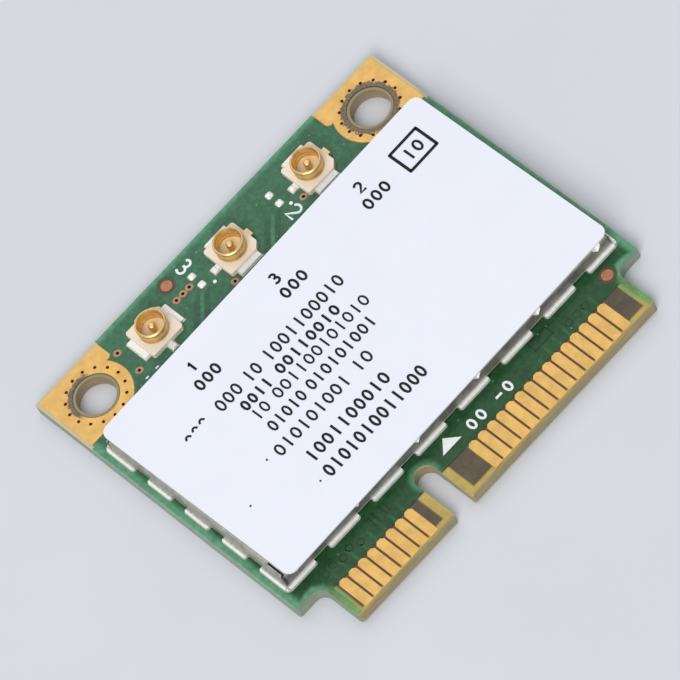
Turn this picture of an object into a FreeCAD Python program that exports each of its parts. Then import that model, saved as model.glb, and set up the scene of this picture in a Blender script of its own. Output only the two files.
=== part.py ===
import FreeCAD, Part
import os
from math import cos, radians, sin

# Half-length mini card radio, lying flat with its component face up.
# Millimetres. X runs along the connector edge, Y from that edge towards the
# mounting holes, Z up. Lengths along Y are measured from the connector edge
# here, and every piece is moved at the end so that the origin is the centre
# of the underside.

Vector = FreeCAD.Vector

# Card outline
card_width = 29.7
card_length = 26.53
card_thickness = 1.0
film = 0.04                     # copper or solder mask on either face
mount_corner_radius = 0.06
shoulder_corner_radius = 0.2
shoulder_height = 3.38
shoulder_fillet = 0.7
tongue_side = 0.925             # past the outermost contacts' places
tongue_corner_radius = 0.3
edge_bevel = 0.06
overrun = 1.0                   # how far a cut runs past the card's edges
key_shift = 0.15                # from the middle between the two contact groups
key_width = 1.5
key_depth = 3.98
key_lip_radius = 0.15

# Edge contacts: each face has a short and a long group on one pitch
contact_pitch = 0.8
contact_width = 0.65
contact_length = 2.46
contact_setback = 0.10
contact_corner = 0.18
short_group = 8
long_group = 18
group_step = 5 * contact_pitch  # last short contact to first long place
face_shift = 0.2                # half the stagger between the two faces
bare_first_count = 2            # places left bare at the long group's start, on top
bare_last_count = 1             # and at its end
bare_side = 0.35                # mask strip beside the bare tongue
bare_side_setback = 0.18

# Mounting holes and their ground pads
hole_spacing = 24.2
hole_setback = 2.7              # from the mounting edge
hole_radius = 1.3
pad_hole_radius = 1.52
pad_radius = 2.4
pad_margin = 0.2                # bare laminate along the card's edges
pad_width = 5.05
pad_arm_depth = 1.32
pad_length = 4.75
pad_notch = 0.2
mask_gap = 0.04
via_hole_radius = 0.11
pad_via_count = 15
pad_via_radius = 1.94
pad_via_turn = {-1: 0.0, 1: -9.0}

# Small marks on the component face: X from the nearest socket, Y from the socket row
via_ring_radius = 0.25
left_vias = ((-2.43, 0.98), (-2.43, -1.0), (2.32, 0.52), (2.88, 0.52), (3.44, 0.52))
middle_vias = ((-1.42, -1.57),)
right_vias = ((-1.58, -0.93),)
fiducial_radius = 0.385
fiducial_clear = 0.62
left_fiducial = (2.65, 1.76)
front_fiducial_inset = 2.45     # from the card's side
front_fiducial_rise = 3.59      # from the connector edge
spare_land_width = 0.48
spare_land_depth = 0.46
spare_land_corner = 0.12
spare_land_reach = 2.8          # from the socket's middle
spare_land_step = 0.90

# Antenna sockets
socket_spacing = 6.84
socket_turns = (90.0, 0.0, 0.0)  # left, middle, right
base_size = 2.6
base_height = 0.38
base_corner = 0.12
base_key_corner = 0.42
shell_radius = 1.0
shell_groove = 0.09
shell_wall = 0.22
shell_height = 1.25
shell_lip = 0.32                # plain band above the groove, where a plug grips
shell_edge = 0.06
shell_mouth = 0.12
shell_mouth_depth = 0.22
shell_seat = 0.15
lug_width = 1.70
lug_reach = 1.69
tab_width = 0.60
tab_reach = 1.55
tab_thickness = 0.12
pin_radius = 0.24
pin_height = 1.0
pin_edge = 0.16
leg_width = 0.36
leg_reach = 1.80
leg_thickness = 0.11
land_rim = 0.05
signal_land = 0.54

# Shield can, folded from one sheet
sheet = 0.15
can_front = 4.76                # outer face of the wall beside the connector
can_side_strip = 0.42           # from the feet's lands to the card's sides
can_socket_strip = 1.24         # from the feet's lands to the socket lands
can_height = 1.15
bend_radius = 0.2
foot_reach = 0.27
foot_round = 0.16
foot_rise = 0.20                # open gap under the wall between feet
foot_gap = 1.24                 # clear length between one foot and the next
long_feet = 6
long_corner_foot = 2.24         # corner foot's run along the long wall
short_feet = 3
short_corner_foot = 2.285
foot_corner = 0.38
seam = 0.12
seam_length = 1.4
gusset_count = 6
gusset_end = 1.035              # outermost gusset to the can's corner
gusset_depth = 0.5
gusset_half_width = 0.4

# Label on the can
label_short_side = 0.06         # short of the can's side walls
label_over_end = 0.42           # past its front and back walls
label_thickness = 0.1
label_radius = 0.6
label_turn = 0.75
label_offset_x = 0.17
label_offset_y = 0.34

# Parts under the can: length along X, along Y, height
part_gap = 0.5
roof_gap = 0.1
radio_strip = 0.68              # clear strip in front of and behind the radio chip
radio_height = 0.85
radio_terminals = 14            # count along each edge
module_size = (3.6, 2.8, 0.8)
filter_size = (1.6, 0.8, 0.6)
crystal_size = (2.5, 3.2, 0.7)
memory_size = (3.0, 2.0, 0.75)
converter_size = (3.0, 3.0, 0.85)
inductor_length = 2.5
inductor_width = 2.0
bulk_size = (1.6, 0.8, 0.8)
small_size = (1.0, 0.5, 0.5)
inductor_count = 2
bulk_count = 4
small_count = 6
module_terminals = 4
converter_terminals = 3
terminal_width = 0.25
terminal_inside = 0.35
terminal_outside = 0.15
terminal_corner = 0.5           # clear of lands at each corner

# Levels and lines that follow from the sizes above
top = card_thickness
half_width = card_width / 2
groups_span = (short_group + long_group - 2) * contact_pitch + group_step
half_tongue = (groups_span + contact_width) / 2 + tongue_side
key_x = (short_group - 1) * contact_pitch + (group_step - groups_span) / 2 + key_shift
hole_y = card_length - hole_setback
hole_x = hole_spacing / 2
contact_top = contact_setback + contact_length
half_can = half_width - can_side_strip - land_rim - foot_reach
can_width = 2 * half_can
can_back = hole_y - leg_reach - can_socket_strip - 2 * land_rim - foot_reach
can_depth = can_back - can_front
can_middle = can_front + can_depth / 2
roof = top + can_height
long_run = can_width - 2 * long_corner_foot
long_foot = (long_run - (long_feet + 1) * foot_gap) / long_feet
short_run = can_depth - 2 * short_corner_foot
short_foot = (short_run - (short_feet + 1) * foot_gap) / short_feet
gusset_pitch = (can_width - 2 * gusset_end) / (gusset_count - 1)
label_width = can_width - 2 * label_short_side
label_depth = can_depth + 2 * label_over_end
gusset_reach = gusset_depth + 2 * sheet
origin_shift = Vector(0, -card_length / 2, 0)


def save(name, *shapes):
    """Write one node, moved so that the origin is the underside's centre."""
    group = shapes[0] if len(shapes) == 1 else Part.makeCompound(list(shapes))
    group = group.copy()
    group.translate(origin_shift)
    group.exportStep("parts/" + name + ".step")


# Flat outlines

def rectangle(x0, x1, y0, y1):
    return polygon(((x0, y0), (x1, y0), (x1, y1), (x0, y1)))


def polygon(points):
    """Face through the points, facing up whichever way round they run."""
    corners = [Vector(x, y, 0) for x, y in points]
    face = Part.Face(Part.makePolygon(corners + corners[:1]))
    if face.normalAt(0, 0).z < 0:
        corners.reverse()
        face = Part.Face(Part.makePolygon(corners + corners[:1]))
    return face


def disc(x, y, radius):
    return Part.Face(Part.Wire(Part.makeCircle(radius, Vector(x, y, 0))))


def rounded(corners):
    """Face through (x, y, radius) corners, each rounded by an arc of its radius, facing up."""
    pairs = zip(corners, corners[1:] + corners[:1])
    if sum(a[0] * b[1] - b[0] * a[1] for a, b in pairs) < 0:
        corners = corners[::-1]
    points = [Vector(x, y, 0) for x, y, radius in corners]
    edges = []
    ends = []
    for i, (x, y, radius) in enumerate(corners):
        here = points[i]
        back = (points[i - 1] - here).normalize()
        ahead = (points[(i + 1) % len(points)] - here).normalize()
        half = back.getAngle(ahead) / 2
        reach = radius * cos(half) / sin(half)
        start = here + back * reach
        finish = here + ahead * reach
        middle = here + (back + ahead).normalize() * (radius / sin(half) - radius)
        ends.append((start, middle, finish, radius))
    for i, (start, middle, finish, radius) in enumerate(ends):
        previous = ends[i - 1][2]
        if previous.distanceToPoint(start) > 1e-6:
            edges.append(Part.LineSegment(previous, start).toShape())
        if radius > 0:
            edges.append(Part.Arc(start, middle, finish).toShape())
    return Part.Face(Part.Wire(edges))


def slab(face, bottom, height):
    solid = face.extrude(Vector(0, 0, height))
    solid.translate(Vector(0, 0, bottom))
    return solid


def joined(faces):
    return faces[0].fuse(faces[1:]).removeSplitter()


def block(x, y, size, bottom):
    corner = Vector(x - size[0] / 2, y - size[1] / 2, bottom)
    return Part.makeBox(size[0], size[1], size[2], corner)


def card_outline():
    key_left = key_x - key_width / 2
    key_right = key_x + key_width / 2
    return rounded((
        (-half_tongue, 0, tongue_corner_radius),
        (key_left, 0, key_lip_radius),
        (key_left, key_depth, key_width / 2),
        (key_right, key_depth, key_width / 2),
        (key_right, 0, key_lip_radius),
        (half_tongue, 0, tongue_corner_radius),
        (half_tongue, shoulder_height, shoulder_fillet),
        (half_width, shoulder_height, shoulder_corner_radius),
        (half_width, card_length, mount_corner_radius),
        (-half_width, card_length, mount_corner_radius),
        (-half_width, shoulder_height, shoulder_corner_radius),
        (-half_tongue, shoulder_height, shoulder_fillet)))


# Drilled holes

def pad_via_points(side):
    points = []
    for i in range(pad_via_count):
        angle = radians(pad_via_turn[side] + 360.0 * i / pad_via_count)
        points.append((side * hole_x + pad_via_radius * cos(angle),
                       hole_y + pad_via_radius * sin(angle)))
    return points


def via_points():
    points = []
    for step, vias in ((-1, left_vias), (0, middle_vias), (1, right_vias)):
        points += [(step * socket_spacing + x, hole_y + rise) for x, rise in vias]
    return points


def drilled_holes():
    holes = [disc(side * hole_x, hole_y, hole_radius) for side in (-1, 1)]
    for side in (-1, 1):
        holes += [disc(x, y, via_hole_radius) for x, y in pad_via_points(side)]
    holes += [disc(x, y, via_hole_radius) for x, y in via_points()]
    return holes


# Copper on the card's faces

def contact_face(x):
    left = x - contact_width / 2
    right = x + contact_width / 2
    shoulder = contact_top - contact_corner
    return polygon(((left, contact_setback), (right, contact_setback), (right, shoulder),
                    (right - contact_corner, contact_top),
                    (left + contact_corner, contact_top), (left, shoulder)))


def contact_places(shift):
    """X of the short group's and the long group's places on one face."""
    first = shift - groups_span / 2
    short_places = [first + i * contact_pitch for i in range(short_group)]
    start = short_places[-1] + group_step
    long_places = [start + i * contact_pitch for i in range(long_group)]
    return short_places, long_places


def corner_pad(side, margin=0.0):
    """Ground pad round one mounting hole, grown by a margin and with no hole."""
    outer = half_width - pad_margin
    back = card_length - pad_margin
    arm_front = back - pad_arm_depth - margin
    arm = polygon(((side * (outer + margin), arm_front),
                   (side * (outer - pad_width + pad_notch - margin), arm_front),
                   (side * (outer - pad_width - margin), arm_front + pad_notch),
                   (side * (outer - pad_width - margin), back + margin),
                   (side * (outer + margin), back + margin)))
    sides = sorted((side * hole_x, side * (outer + margin)))
    leg = rectangle(sides[0], sides[1], back - pad_length - margin, back + margin)
    return joined([arm, leg, disc(side * hole_x, hole_y, pad_radius + margin)])


def corner_pad_copper(side):
    openings = [disc(side * hole_x, hole_y, pad_hole_radius)]
    openings += [disc(x, y, via_hole_radius) for x, y in pad_via_points(side)]
    return corner_pad(side).cut(openings)


def bare_corner(side):
    """Where the mask stops short of the pad and of the card's edges beside it."""
    outer = half_width + overrun
    inner = half_width - pad_margin - pad_width - mask_gap
    back = card_length - pad_margin
    edge = sorted((side * inner, side * outer))
    end = card_length + overrun
    back_strip = rectangle(edge[0], edge[1], back, end)
    strip = sorted((side * (half_width - pad_margin - mask_gap), side * outer))
    side_strip = rectangle(strip[0], strip[1], back - pad_length - pad_notch, end)
    return joined([corner_pad(side, mask_gap), back_strip, side_strip])


def bare_tongue():
    inner = half_tongue - bare_side
    outer = half_tongue + overrun
    window = rectangle(-inner, inner, -overrun, contact_top)
    foot = rectangle(-outer, outer, -overrun, bare_side_setback)
    return joined([window, foot])


def fiducial_points():
    return [(left_fiducial[0] - socket_spacing, hole_y + left_fiducial[1]),
            (half_width - front_fiducial_inset, front_fiducial_rise)]


def spare_land_faces(grow=0.0):
    """Two lands beside the middle socket and two beside the right one."""
    half_x = spare_land_width / 2 + grow
    half_y = spare_land_depth / 2 + grow
    faces = []
    for socket_x in (0, socket_spacing):
        x = socket_x - spare_land_reach
        for y in (hole_y, hole_y + spare_land_step):
            faces.append(rounded([(x + a * half_x, y + b * half_y, spare_land_corner + grow)
                                  for a, b in ((-1, -1), (1, -1), (1, 1), (-1, 1))]))
    return faces


# Antenna sockets

def socket_places():
    return [((i - 1) * socket_spacing, socket_turns[i]) for i in range(3)]


def place_socket(shape, x, turn):
    shape = shape.copy()
    shape.rotate(Vector(0, 0, 0), Vector(0, 0, 1), turn)
    shape.translate(Vector(x, hole_y, 0))
    return shape


def socket_land_faces(grow=0.0):
    half = lug_width / 2 + land_rim + grow
    inner = base_size / 2 - land_rim - grow
    outer = lug_reach + land_rim + grow
    half_signal = signal_land / 2 + grow
    signal_outer = leg_reach + land_rim + grow
    flat = [rectangle(-half, half, inner, outer), rectangle(-half, half, -outer, -inner),
            rectangle(-signal_outer, -inner, -half_signal, half_signal)]
    return [place_socket(face, x, turn) for x, turn in socket_places() for face in flat]


def socket_shell():
    """Ring with a snap groove, two soldered lugs and one cut-off tab, in one stamping."""
    inner = shell_radius - shell_wall
    groove = shell_radius - shell_groove
    lip = shell_height - shell_edge - shell_lip
    waist = (base_height + lip) / 2
    profile = ((inner, shell_seat), (shell_radius, shell_seat), (shell_radius, base_height),
               (groove, waist), (groove, lip - shell_groove), (shell_radius, lip),
               (shell_radius, shell_height - shell_edge),
               (shell_radius - shell_edge, shell_height), (inner + shell_mouth, shell_height),
               (inner, shell_height - shell_mouth_depth))
    points = [Vector(r, 0, z) for r, z in profile]
    section = Part.Face(Part.makePolygon(points + points[:1]))
    ring = section.revolve(Vector(0, 0, 0), Vector(0, 0, 1), 360)
    lug_start = inner * 0.8
    lug_size = (lug_width, lug_reach - lug_start, shell_seat)
    lug_y = (lug_reach + lug_start) / 2
    tab_size = (tab_reach - inner, tab_width, tab_thickness)
    tab = block((tab_reach + inner) / 2, 0, tab_size, shell_seat)
    lugs = [block(0, lug_y, lug_size, 0), block(0, -lug_y, lug_size, 0)]
    return ring.fuse(lugs + [tab]).cut(Part.makeCylinder(inner, shell_height)).removeSplitter()


def socket_pin():
    """Centre post with its solder leg."""
    post = Part.makeCylinder(pin_radius, pin_height)
    rim = [edge for edge in post.Edges if abs(edge.CenterOfMass.z - pin_height) < 1e-6]
    post = post.makeFillet(pin_edge, rim)
    leg = block(-leg_reach / 2, 0, (leg_reach, leg_width, leg_thickness), 0)
    return post.fuse(leg).removeSplitter()


def socket_base(shell, pin):
    half = base_size / 2
    cut = base_corner
    key = base_key_corner
    face = polygon(((-half + cut, -half), (half - key, -half), (half, -half + key),
                    (half, half - cut), (half - cut, half), (-half + cut, half),
                    (-half, half - cut), (-half, -half + cut)))
    return slab(face, 0, base_height).cut([shell, pin])


# Shield can

def foot_outline(length):
    """Flat foot on a wall along X: the wall's outer face is y = 0, outwards is -y."""
    tip = length / 2
    return ((-tip, sheet, 0), (-tip, -foot_reach, foot_round),
            (tip, -foot_reach, foot_round), (tip, sheet, 0))


def spread(middle, step, count):
    return [middle + (i - (count - 1) / 2) * step for i in range(count)]


def wall_feet(length, count):
    """Outlines of one wall's feet, along local X about the wall's middle."""
    feet = []
    for middle in spread(0, length + foot_gap, count):
        feet.append([(middle + x, y, radius) for x, y, radius in foot_outline(length)])
    return feet


def walls():
    """Local (x, y) to card (x, y) for the four walls, with each wall's feet."""
    long_row = wall_feet(long_foot, long_feet)
    short_row = wall_feet(short_foot, short_feet)
    return ((lambda x, y: (x, can_front + y), long_row),
            (lambda x, y: (-x, can_back - y), long_row),
            (lambda x, y: (half_can - y, can_middle + x), short_row),
            (lambda x, y: (-half_can + y, can_middle - x), short_row))


def corner_foot_outline(side, end):
    """Foot that turns one corner of the can; side is the sign of X, end that of Y."""
    long_end = half_can - long_corner_foot
    short_end = can_depth / 2 - short_corner_foot
    x_wall = half_can
    y_wall = can_depth / 2
    points = ((x_wall - sheet, y_wall - sheet, 0), (long_end, y_wall - sheet, 0),
              (long_end, y_wall + foot_reach, foot_round),
              (x_wall + foot_reach, y_wall + foot_reach, foot_corner),
              (x_wall + foot_reach, short_end, foot_round), (x_wall - sheet, short_end, 0))
    return [(side * x, can_middle + end * y, radius) for x, y, radius in points]


def foot_faces():
    faces = []
    for place, feet in walls():
        faces += [rounded([(*place(x, y), radius) for x, y, radius in foot]) for foot in feet]
    for side in (-1, 1):
        faces += [rounded(corner_foot_outline(side, end)) for end in (-1, 1)]
    return faces


def grown(face, margin):
    return face.makeOffset2D(margin, join=2)


def gusset(x, wall_y, inward, depth, half, level):
    """Tetrahedron pressed into the bend at x; inward is the sign of Y into the can."""
    low = Vector(x, wall_y, level - depth)
    deep = Vector(x, wall_y + inward * depth, level)
    left = Vector(x - half, wall_y, level)
    right = Vector(x + half, wall_y, level)
    triangles = ((low, deep, left), (low, right, deep), (low, left, right), (deep, right, left))
    faces = [Part.Face(Part.makePolygon(list(t) + [t[0]])) for t in triangles]
    return Part.Solid(Part.makeShell(faces))


def wall_band(inset, bottom, height, radius):
    """Box of the can's plan, inset on all sides, with its four upper edges rounded."""
    size = (can_width - 2 * inset, can_depth - 2 * inset, height)
    solid = block(0, can_middle, size, bottom)
    level = bottom + height
    rim = [edge for edge in solid.Edges if abs(edge.CenterOfMass.z - level) < 1e-6]
    return solid.makeFillet(radius, rim)


def shield_can():
    outer = wall_band(0, top + foot_rise, can_height - foot_rise, bend_radius)
    inner = wall_band(sheet, top, can_height - sheet, bend_radius - sheet / 2)
    presses = []
    backings = []
    for x in spread(0, gusset_pitch, gusset_count):
        for wall_y, inward in ((can_front, 1), (can_back, -1)):
            presses.append(gusset(x, wall_y, inward, gusset_depth, gusset_half_width, roof))
            backings.append(gusset(x, wall_y, inward, gusset_reach,
                                   gusset_half_width + 1.5 * sheet, roof))
    backing = Part.makeCompound([outer.common(solid) for solid in backings])
    shell = outer.cut(inner).fuse(backing)
    tabs = []
    for face in foot_faces():
        tabs.append(slab(face, top, sheet))
        rise = slab(face, top, foot_rise + sheet).common(wall_ring())
        tabs.append(rise)
    shell = shell.fuse(tabs)
    shell = shell.cut(presses + corner_seams())
    return shell.removeSplitter()


def wall_ring():
    """The four walls' section, full height."""
    outside = block(0, can_middle, (can_width, can_depth, can_height), top)
    inside = block(0, can_middle, (can_width - 2 * sheet, can_depth - 2 * sheet, can_height), top)
    return outside.cut(inside)


def corner_seams():
    """Open corners: a slit down each corner and one along the end of each side bend."""
    cuts = []
    low = top + foot_rise + sheet
    height = can_height
    for side in (-1, 1):
        for end in (-1, 1):
            slit_y = can_middle + end * (can_depth / 2 - sheet - seam / 2)
            cuts.append(block(side * half_can, slit_y, (2 * sheet + seam, seam, height), low))
            run_y = can_middle + end * (can_depth / 2 - sheet - seam_length / 2)
            run_x = side * (half_can - sheet - seam / 2)
            cuts.append(block(run_x, run_y, (seam, seam_length, height), roof - sheet - bend_radius))
    return cuts


def label():
    half_x = label_width / 2
    half_y = label_depth / 2
    corners = [(x, y, label_radius) for x, y in
               ((-half_x, -half_y), (half_x, -half_y), (half_x, half_y), (-half_x, half_y))]
    sheet_face = rounded(corners)
    sheet_face.rotate(Vector(0, 0, 0), Vector(0, 0, 1), label_turn)
    sheet_face.translate(Vector(label_offset_x, can_middle + label_offset_y, 0))
    return slab(sheet_face, roof, label_thickness)


# Parts under the can: every place follows from the can's walls and the parts' sizes

module_y = can_back - gusset_reach - part_gap - module_size[1] / 2
room_back = module_y - module_size[1] / 2 - part_gap
room_front = can_front + gusset_reach + part_gap
row_y = (room_front + room_back) / 2
radio_side = room_back - room_front - 2 * radio_strip
radio_size = (radio_side, radio_side, radio_height)
inductor_size = (inductor_length, inductor_width, can_height - sheet - roof_gap)
crystal_x = half_can - sheet - part_gap - crystal_size[0] / 2
small_right_x = crystal_x - crystal_size[0] / 2 - part_gap - small_size[0] / 2
radio_x = small_right_x - small_size[0] / 2 - part_gap - radio_side / 2
small_left_x = radio_x - radio_side / 2 - part_gap - small_size[0] / 2
inductor_x = small_left_x - small_size[0] / 2 - part_gap - inductor_length / 2
converter_x = inductor_x - inductor_length / 2 - part_gap - converter_size[0] / 2
bulk_x = converter_x - converter_size[0] / 2 - part_gap - bulk_size[0] / 2
converter_y = row_y - (memory_size[1] + part_gap) / 2
memory_y = row_y + (converter_size[1] + part_gap) / 2


def module_places():
    return [(x, module_y) for x, turn in socket_places()]


def filter_places():
    aside = module_size[0] / 2 + part_gap + filter_size[0] / 2
    return [(x + aside, module_y) for x, y in module_places()]


def inductor_places():
    return [(inductor_x, y) for y in spread(row_y, inductor_width + part_gap, inductor_count)]


def bulk_places():
    return [(bulk_x, y) for y in spread(row_y, bulk_size[1] + part_gap, bulk_count)]


def small_places():
    """Two columns beside the radio chip; each part lies along X."""
    step = small_size[1] + part_gap
    rows = spread(row_y, step, small_count)
    return [(x, y) for x in (small_left_x, small_right_x) for y in rows]


def end_lands(x, y, size):
    """Two lands under the ends of a part that lies along X."""
    reach = size[0] / 2 + terminal_outside
    inner = size[0] / 4
    half = size[1] / 2
    return [rectangle(x - reach, x - inner, y - half, y + half),
            rectangle(x + inner, x + reach, y - half, y + half)]


def edge_lands(x, y, size, count):
    """Rows of small lands under all four edges of a leadless chip."""
    lands = []
    half = terminal_width / 2
    for across, along, turned in ((size[0], size[1], True), (size[1], size[0], False)):
        step = (along - 2 * terminal_corner) / count
        for place in spread(0, step, count):
            for side in (-1, 1):
                ends = sorted((side * (across / 2 - terminal_inside),
                               side * (across / 2 + terminal_outside)))
                if turned:
                    lands.append(rectangle(x + ends[0], x + ends[1], y + place - half, y + place + half))
                else:
                    lands.append(rectangle(x + place - half, x + place + half, y + ends[0], y + ends[1]))
    return lands


def component_land_faces():
    lands = edge_lands(radio_x, row_y, radio_size, radio_terminals)
    for x, y in module_places():
        lands += edge_lands(x, y, module_size, module_terminals)
    lands += edge_lands(converter_x, converter_y, converter_size, converter_terminals)
    lands += end_lands(converter_x, memory_y, memory_size)
    lands += end_lands(crystal_x, row_y, crystal_size)
    for places, size in ((filter_places(), filter_size), (inductor_places(), inductor_size),
                         (bulk_places(), bulk_size), (small_places(), small_size)):
        for x, y in places:
            lands += end_lands(x, y, size)
    return lands


def blocks(places, size):
    return [block(x, y, size, top) for x, y in places]


# Build and write every piece

def write_board():
    outline = card_outline()
    holes = drilled_holes()
    core = slab(outline.cut(holes), film, card_thickness - 2 * film)
    bevel = polygon(((0, 0), (edge_bevel + film, 0), (0, edge_bevel + film)))
    bevel.rotate(Vector(0, 0, 0), Vector(1, 1, 1), 120)
    bevel.translate(Vector(-card_width, 0, 0))
    low = bevel.extrude(Vector(2 * card_width, 0, 0))
    high = low.mirror(Vector(0, 0, card_thickness / 2), Vector(0, 0, 1))
    save("circuit_board", core.cut([low, high]))

    bare = [bare_corner(side) for side in (-1, 1)] + [bare_tongue()]
    plain = outline.cut(bare)
    rings = [disc(x, y, via_ring_radius + mask_gap) for x, y in via_points()]
    marks = [disc(x, y, fiducial_clear) for x, y in fiducial_points()]
    lands = [grown(face, land_rim) for face in foot_faces()]
    openings = rings + marks + lands + spare_land_faces(mask_gap) + socket_land_faces(mask_gap)
    openings += component_land_faces()
    save("solder_mask_top", slab(plain.cut(openings), top - film, film))
    save("solder_mask_bottom", slab(plain.cut(rings), 0, film))


def write_copper():
    short_top, long_top = contact_places(-face_shift)
    short_low, long_low = contact_places(face_shift)
    long_top = long_top[bare_first_count:long_group - bare_last_count]
    for name, places, bottom in (("edge_contacts_top_short", short_top, top - film),
                                 ("edge_contacts_top_long", long_top, top - film),
                                 ("edge_contacts_bottom_short", short_low, 0),
                                 ("edge_contacts_bottom_long", long_low, 0)):
        save(name, *[slab(contact_face(x), bottom, film) for x in places])
    for side, word in ((-1, "left"), (1, "right")):
        copper = corner_pad_copper(side)
        save("ground_pad_" + word + "_top", slab(copper, top - film, film))
        save("ground_pad_" + word + "_bottom", slab(copper, 0, film))
    rings = [disc(x, y, via_ring_radius).cut(disc(x, y, via_hole_radius)) for x, y in via_points()]
    save("via_rings_top", *[slab(ring, top - film, film) for ring in rings])
    save("via_rings_bottom", *[slab(ring, 0, film) for ring in rings])
    marks = [disc(x, y, fiducial_radius) for x, y in fiducial_points()]
    save("alignment_marks", *[slab(mark, top - film, film) for mark in marks])
    for name, faces in (("spare_lands", spare_land_faces()), ("socket_lands", socket_land_faces()),
                        ("component_lands", component_land_faces()),
                        ("shield_lands", [grown(face, land_rim) for face in foot_faces()])):
        save(name, *[slab(face, top - film, film) for face in faces])


def write_sockets():
    shell = socket_shell()
    pin = socket_pin()
    base = socket_base(shell, pin)
    for (x, turn), word in zip(socket_places(), ("left", "middle", "right")):
        for shape, piece in ((base, "base"), (shell, "shell"), (pin, "pin")):
            placed = place_socket(shape, x, turn)
            placed.translate(Vector(0, 0, top))
            save("antenna_socket_" + word + "_" + piece, placed)


def write_parts_under_can():
    save("radio_chip", block(radio_x, row_y, radio_size, top))
    for (x, y), word in zip(module_places(), ("left", "middle", "right")):
        save("front_end_module_" + word, block(x, y, module_size, top))
    for (x, y), word in zip(filter_places(), ("left", "middle", "right")):
        save("band_filter_" + word, block(x, y, filter_size, top))
    save("reference_crystal", block(crystal_x, row_y, crystal_size, top))
    save("configuration_memory", block(converter_x, memory_y, memory_size, top))
    save("power_converter", block(converter_x, converter_y, converter_size, top))
    save("power_inductors", *blocks(inductor_places(), inductor_size))
    save("bulk_capacitors", *blocks(bulk_places(), bulk_size))
    save("small_capacitors", *blocks(small_places(), small_size))


os.makedirs("parts", exist_ok=True)
write_board()
write_copper()
write_sockets()
write_parts_under_can()
save("shield_can", shield_can())
save("can_label", label())
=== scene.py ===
from math import cos, pi, radians, sin

import bpy
from bpy.props import FloatProperty, FloatVectorProperty, PointerProperty
from mathutils import Matrix, Vector


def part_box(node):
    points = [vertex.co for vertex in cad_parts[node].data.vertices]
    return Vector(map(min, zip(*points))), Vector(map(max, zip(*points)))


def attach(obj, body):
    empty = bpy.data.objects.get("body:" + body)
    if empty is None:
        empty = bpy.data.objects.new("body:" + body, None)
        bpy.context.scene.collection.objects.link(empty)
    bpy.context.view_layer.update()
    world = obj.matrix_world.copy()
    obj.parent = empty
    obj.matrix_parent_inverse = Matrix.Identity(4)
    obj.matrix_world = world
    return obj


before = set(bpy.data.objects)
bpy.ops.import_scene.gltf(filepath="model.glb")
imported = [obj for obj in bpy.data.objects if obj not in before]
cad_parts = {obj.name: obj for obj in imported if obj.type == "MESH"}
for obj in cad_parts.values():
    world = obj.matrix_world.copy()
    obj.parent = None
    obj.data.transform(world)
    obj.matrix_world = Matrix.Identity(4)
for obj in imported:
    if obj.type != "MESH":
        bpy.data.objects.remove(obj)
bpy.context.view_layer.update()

bl_info = {
    "name": "Mini card radio",
    "version": (1, 0, 0),
    "blender": (4, 5, 0),
    "location": "3D View > Sidebar > Mini Card",
    "description": "Finishes, printed marks and stage for a half-length mini card radio",
    "category": "Object",
}

MM = 0.001


def corners(node):
    """A node's low and high corners in millimetres."""
    return [Vector(corner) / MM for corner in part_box(node)]


def middle(node):
    """The middle of a node's box in millimetres."""
    low, high = corners(node)
    return (low + high) / 2


def box_top(node):
    """The height of a node's top in millimetres."""
    return corners(node)[1].z


def area(x0, x1, y0, y1):
    """Middle and half sizes of a box on the card's plan."""
    return (x0 + x1) / 2, (y0 + y1) / 2, (x1 - x0) / 2, (y1 - y0) / 2


# Layout in millimetres: X along the connector edge, Y from the connector edge to the
# mounting holes with 0 at the card's middle, Z up. Places are taken from the frame where
# it has them; the other sizes are those of the part.

LOW, HIGH = corners("circuit_board")
SHORT_LOW, SHORT_HIGH = corners("edge_contacts_top_short")
LONG_LOW, LONG_HIGH = corners("edge_contacts_top_long")
CAN_LOW, CAN_HIGH = corners("shield_can")
MARK_LOW, MARK_HIGH = corners("alignment_marks")
FACE = box_top("solder_mask_top")
HALF_WIDTH = HIGH.x
HALF_LENGTH = HIGH.y

# Tongue, key slot and contacts
FILLET = 0.7
KEY_RADIUS = 0.75
SHOULDER = LOW.y + 3.38
TONGUE = 0.725 - SHORT_LOW.x
KEY = (SHORT_HIGH.x + LONG_LOW.x) / 2 - 0.45
KEY_END = LOW.y + 3.98
PITCH = 0.8
CONTACT_HALF = 0.325
PLANE_FRONT = SHORT_LOW.y + 0.265
PLANE_BACK = SHORT_HIGH.y + 0.3
INNER_PLANE = tuple(area(x0, x1, PLANE_FRONT, PLANE_BACK) for x0, x1 in (
    (SHORT_HIGH.x, SHORT_HIGH.x + 0.67), (LONG_LOW.x - 1.64, LONG_LOW.x),
    (LONG_HIGH.x, LONG_HIGH.x + 1.3)))
CONTACT_ROWS = tuple(area(low.x - past, high.x, low.y + 0.145, high.y + 0.085)
                     for low, high, past in ((SHORT_LOW, SHORT_HIGH, 0.18),
                                             (LONG_LOW, LONG_HIGH, 0.0)))

# Sockets, holes, vias and marks
SIDES = ("left", "middle", "right")
SOCKETS = tuple(middle("antenna_socket_" + side + "_base").x for side in SIDES)
ROW = middle("antenna_socket_left_base").y
HOLES = tuple((side * (HALF_WIDTH - 2.75), ROW, 0.0) for side in (-1, 1))
HOLE_WALL = 1.4
HOLE_GROOVE = 1.46
HOLE_RIM = 1.62
PAD_MARGIN = 0.23
BACK_STRIP = (7.0, 7.5)
MASK_FADE = (-8.0, 8.0)
VIA_RADIUS = 0.108
PAD_VIA_COUNT = 15
PAD_VIA_RING = 1.94
PAD_VIA_TURNS = (0.0, -9.0)
OPEN_VIAS = ((0, -2.43, 0.98), (0, -2.43, -1.0), (0, 2.32, 0.52), (0, 2.88, 0.52), (0, 3.44, 0.52),
             (1, -1.42, -1.57), (2, -1.58, -0.93))  # socket, and place from its middle
MARK_RADIUS = 0.385
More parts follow.
